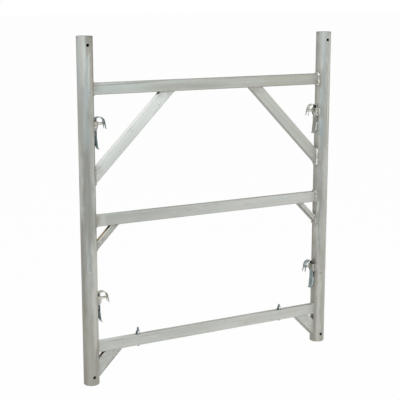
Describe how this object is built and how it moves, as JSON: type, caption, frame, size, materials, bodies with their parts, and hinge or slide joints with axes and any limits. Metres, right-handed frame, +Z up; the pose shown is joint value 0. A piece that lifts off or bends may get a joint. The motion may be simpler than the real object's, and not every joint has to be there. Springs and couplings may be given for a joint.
{
  "type": "shoring frame",
  "caption": "Welded aluminium shoring frame: round legs joined by rungs and knee braces, with hooked gravity latches over the cross brace studs.",
  "frame": {"origin": "on the floor, midway between the legs", "axes": "+X along the rungs to the right leg, +Y to the back, +Z up the legs"},
  "size_m": [1.289, 0.07, 1.524],
  "materials": {
    "tube": "mill finish, lightly weathered",
    "bracket": "mill finish, weathered",
    "plated": "zinc plated, dulled",
    "fastener": "zinc plated"
  },
  "bodies": {
    "frame": {"left_leg": "tube", "right_leg": "tube", "top_rung": "tube", "middle_rung": "tube", "bottom_rung": "tube", "left_upper_brace": "tube", "left_middle_brace": "tube", "left_foot_gusset": "tube", "left_bolt": "fastener", "left_washer": "fastener", "left_nut": "fastener", "right_upper_brace": "tube", "right_middle_brace": "tube", "right_foot_gusset": "tube", "right_bolt": "fastener", "right_washer": "fastener", "right_nut": "fastener", "upper_left_bracket": "bracket", "upper_left_stud": "plated", "upper_left_guide_pin": "plated", "upper_left_stop_pin": "plated", "upper_right_bracket": "bracket", "upper_right_stud": "plated", "upper_right_guide_pin": "plated", "upper_right_stop_pin": "plated", "lower_left_bracket": "bracket", "lower_left_stud": "plated", "lower_left_guide_pin": "plated", "lower_left_stop_pin": "plated", "lower_right_bracket": "bracket", "lower_right_stud": "plated", "lower_right_guide_pin": "plated", "lower_right_stop_pin": "plated"},
    "upper_left_lock": {"upper_left_latch": "plated"},
    "upper_right_lock": {"upper_right_latch": "plated"},
    "lower_left_lock": {"lower_left_latch": "plated"},
    "lower_right_lock": {"lower_right_latch": "plated"}
  },
  "joints": [
    {"name": "upper_left_latch_lift", "type": "slide", "parent": "frame", "child": "upper_left_lock", "axis": [0, 0, 1], "range_m": [0, 0.04]},
    {"name": "upper_right_latch_lift", "type": "slide", "parent": "frame", "child": "upper_right_lock", "axis": [0, 0, 1], "range_m": [0, 0.04]},
    {"name": "lower_left_latch_lift", "type": "slide", "parent": "frame", "child": "lower_left_lock", "axis": [0, 0, 1], "range_m": [0, 0.04]},
    {"name": "lower_right_latch_lift", "type": "slide", "parent": "frame", "child": "lower_right_lock", "axis": [0, 0, 1], "range_m": [0, 0.04]}
  ]
}
